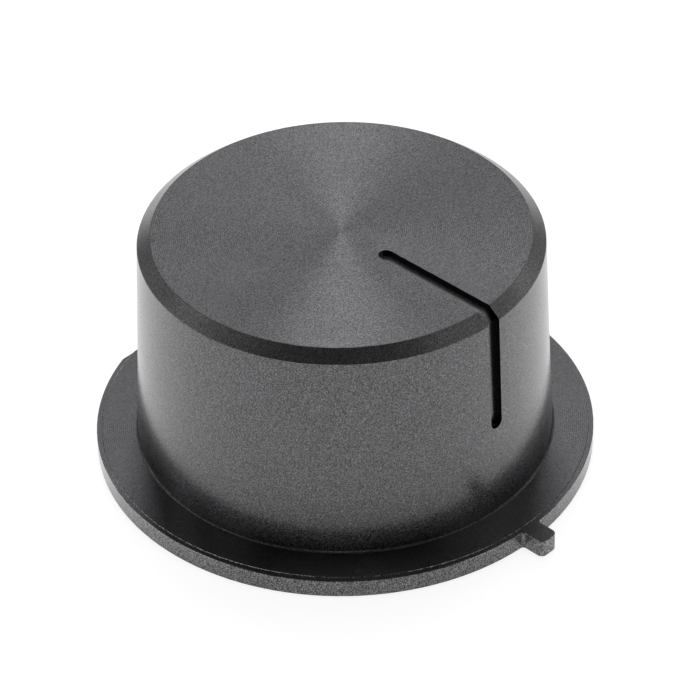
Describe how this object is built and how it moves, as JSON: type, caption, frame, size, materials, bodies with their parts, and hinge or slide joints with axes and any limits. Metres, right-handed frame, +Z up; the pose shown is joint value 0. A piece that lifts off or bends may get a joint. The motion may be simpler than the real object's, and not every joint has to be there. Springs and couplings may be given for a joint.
{
  "type": "timer knob",
  "caption": "Tapered round metal knob with a turned flat top, an indicator groove over top and side, a thin base flange with a pointer tab and a flat opposite it, and a bore for a round spindle.",
  "frame": {"origin": "middle of the spindle bore's mouth, in the plane of the base", "axes": "+Z up the spindle axis towards the knob's top, -Y along the indicator groove and the pointer tab"},
  "size_m": [0.05, 0.051, 0.0252],
  "materials": {
    "anodised_aluminium": "bead-blasted and anodised black, with a turned top",
    "black_steel": "black oxide"
  },
  "bodies": {
    "root": {"knob_body": "anodised_aluminium", "grub_screw": "black_steel"}
  },
  "joints": []
}
